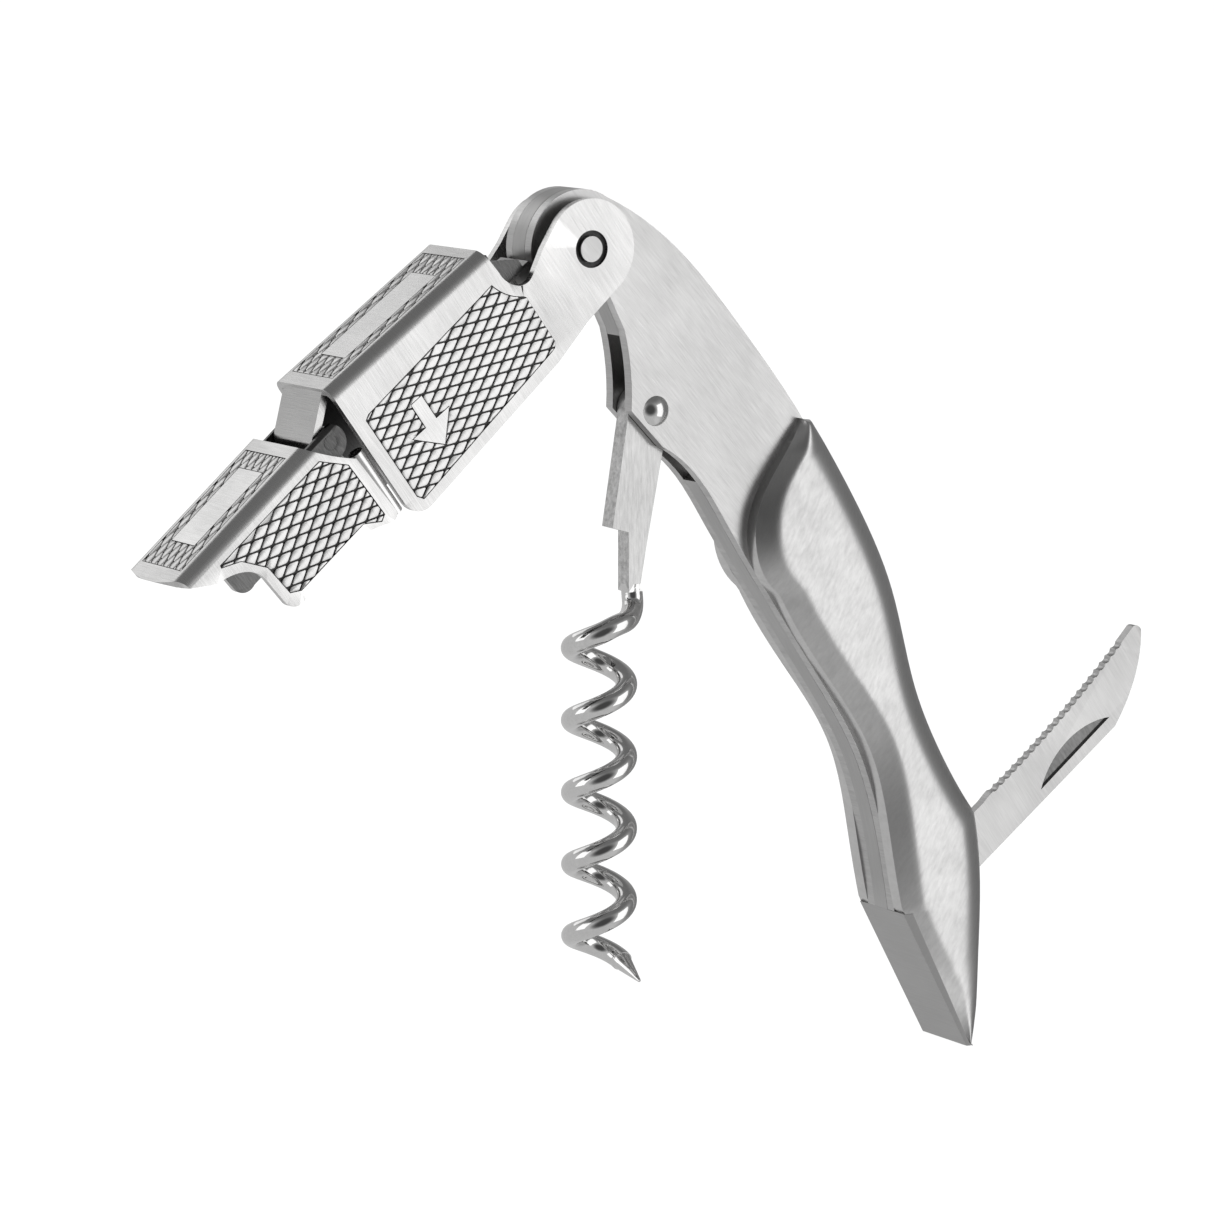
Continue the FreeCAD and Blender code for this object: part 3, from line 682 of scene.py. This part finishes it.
# ---------------------------------------------------------------- worm
# One length of hard steel wire: stamped flat where it turns on its rivet, then coiled and drawn to
# a point. It is barrel polished and chromed, so it mirrors the room.
chrome = steel("polished_chrome", 0.74, 0.64, (0, 0, 0), (0.5 * mm, 0.5 * mm), 0.05, 0.12, 0.12, rubbed=0.2)
stamped = steel("stamped_shank", 0.52, 0.38, (0, 0, 0), (0.25 * mm, 2 * mm),
                0.16, 0.3, 0.4, rubbed=0.0)
sheared = steel("sheared_edge", 0.8, 0.35, (0, 0, 0), (0.5 * mm, 0.5 * mm),
                0.25, 0.5, 0.9, cloud=900.0, rubbed=0.1)
stem_drop = 20.5 * mm
shank_side = 1.2 * mm


def worm_finish(centre, normal):
    """0 chromed coil, 1 stamped faces of the shank, 2 its sheared edges."""
    if centre.z < joints["worm_fold"].z - stem_drop:
        return 0
    if abs(normal.y) > 0.7:
        return 1
    return 2 if abs(centre.y) < shank_side else 1


machined("worm", "chromed_worm", [chrome, stamped, sheared], 0.14 * mm, worm_finish)

# ---------------------------------------------------------------- blade
# A foil cutter stamped from thin steel with ground scallops. The thumbnail nick is coined into its
# front face, and its floor is coloured near-black as a painted reflection of the dark side of the room.
blade_turn = (0, math.radians(-36), 0)
nick_level = 0.35 * mm
blade_ground = steel("ground_blade", 0.56, 0.44, blade_turn, (0.1 * mm, 5 * mm),
                     0.28, 0.4, 0.25, rubbed=0.2)
nick_painted_reflection = steel("coined_nick_painted_reflection", 0.2, 0.1, blade_turn, (0.4 * mm, 2 * mm),
                    0.14, 0.24, 0.2)


def blade_finish(centre, normal):
    """0 ground faces, 1 the floor of the thumbnail nick, coloured dark as a painted reflection."""
    return 1 if -nick_level < centre.y < 0 and normal.y < -0.9 else 0


machined("blade", "foil_blade", [blade_ground, nick_painted_reflection], 0.05 * mm, blade_finish)

# ---------------------------------------------------------------- floor, light and camera
# A white floor, soft boxes to the right, to the left and behind, and a room that is dim above, behind
# the camera and to the right.
floor_reach = 9.0
floor_mesh = bpy.data.meshes.new("studio_floor")
floor_mesh.from_pydata([(-floor_reach, -floor_reach, 0), (floor_reach, -floor_reach, 0),
                        (floor_reach, floor_reach, 0), (-floor_reach, floor_reach, 0)], [], [(0, 1, 2, 3)])
floor_object = bpy.data.objects.new("studio_floor", floor_mesh)
bpy.context.scene.collection.objects.link(floor_object)
floor_finish = bpy.data.materials.new("white_sweep")
floor_finish.use_nodes = True
paper = floor_finish.node_tree.nodes["Principled BSDF"]
paper.inputs["Base Color"].default_value = (0.55, 0.55, 0.55, 1)
paper.inputs["Roughness"].default_value = 0.9
paper.inputs["Specular IOR Level"].default_value = 0.1
paper.inputs["Emission Color"].default_value = (1, 1, 1, 1)
paper.inputs["Emission Strength"].default_value = 0.88
floor_mesh.materials.append(floor_finish)
floor_object.visible_glossy = False

middle = (cad_box[0] + cad_box[1]) / 2


def soft_box(name, way, distance, size, power):
    """A square studio light, aimed at the middle of the corkscrew."""
    lamp = bpy.data.lights.new(name, "AREA")
    lamp.shape = "RECTANGLE"
    lamp.size, lamp.size_y = size
    lamp.energy = power
    holder = bpy.data.objects.new(name, lamp)
    holder.location = middle + Vector(way).normalized() * distance
    holder.rotation_mode = "QUATERNION"
    holder.rotation_quaternion = Vector(way).to_track_quat("Z", "Y")
    bpy.context.scene.collection.objects.link(holder)


soft_box("right_box", (0.6, -0.8, 0.02), 1.1, (0.8, 1.3), 3.0)
soft_box("left_box", (-0.98, 0.1, 0.25), 1.2, (0.7, 0.9), 1.8)
soft_box("back_box", (-0.22, 0.8, 0.56), 1.5, (0.9, 0.6), 1.15)

world = bpy.data.worlds.new("studio_room")
bpy.context.scene.world = world
world.use_nodes = True
room = world.node_tree
room_light = room.nodes["Background"]
room_light.inputs["Strength"].default_value = 0.62


def facing(way, start, end, low, high):
    """A value that turns from low to high as the direction comes round to way."""
    look = room.nodes.new("ShaderNodeTexCoord")
    along_way = room.nodes.new("ShaderNodeVectorMath")
    along_way.operation = "DOT_PRODUCT"
    along_way.inputs[1].default_value = Vector(way).normalized()
    room.links.new(look.outputs["Generated"], along_way.inputs[0])
    ramp = room.nodes.new("ShaderNodeMapRange")
    ramp.interpolation_type = "SMOOTHSTEP"
    for name, value in (("From Min", start), ("From Max", end), ("To Min", low), ("To Max", high)):
        ramp.inputs[name].default_value = value
    room.links.new(along_way.outputs["Value"], ramp.inputs["Value"])
    return ramp.outputs["Result"]


def times(first, second):
    product = room.nodes.new("ShaderNodeMath")
    product.operation = "MULTIPLY"
    room.links.new(first, product.inputs[0])
    room.links.new(second, product.inputs[1])
    return product.outputs[0]


ceiling = facing((0, 0, 1), 0.3, 0.85, 1.0, 0.3)
camera_side = facing((-0.42, -0.9, 0.1), 0.7, 0.96, 1.0, 0.12)
right_side = facing((1, 0.1, 0), 0.5, 0.97, 1.0, 0.36)
room.links.new(times(times(ceiling, camera_side), right_side), room_light.inputs["Color"])

camera_azimuth = math.radians(-33)
camera_elevation = math.radians(9)
camera_distance = 0.586
aim = Vector((-18.4, -12.1, 65.0)) * mm
lens = bpy.data.cameras.new("studio_camera")
lens.lens = 142.5
lens.sensor_width = 36.0
lens.clip_start = 0.01
camera = bpy.data.objects.new("studio_camera", lens)
towards_camera = Vector((math.sin(camera_azimuth) * math.cos(camera_elevation),
                         -math.cos(camera_azimuth) * math.cos(camera_elevation), math.sin(camera_elevation)))
camera.location = aim + towards_camera * camera_distance
camera.rotation_mode = "QUATERNION"
camera.rotation_quaternion = towards_camera.to_track_quat("Z", "Y")
bpy.context.scene.collection.objects.link(camera)
bpy.context.scene.camera = camera
bpy.context.scene.view_settings.view_transform = "Standard"
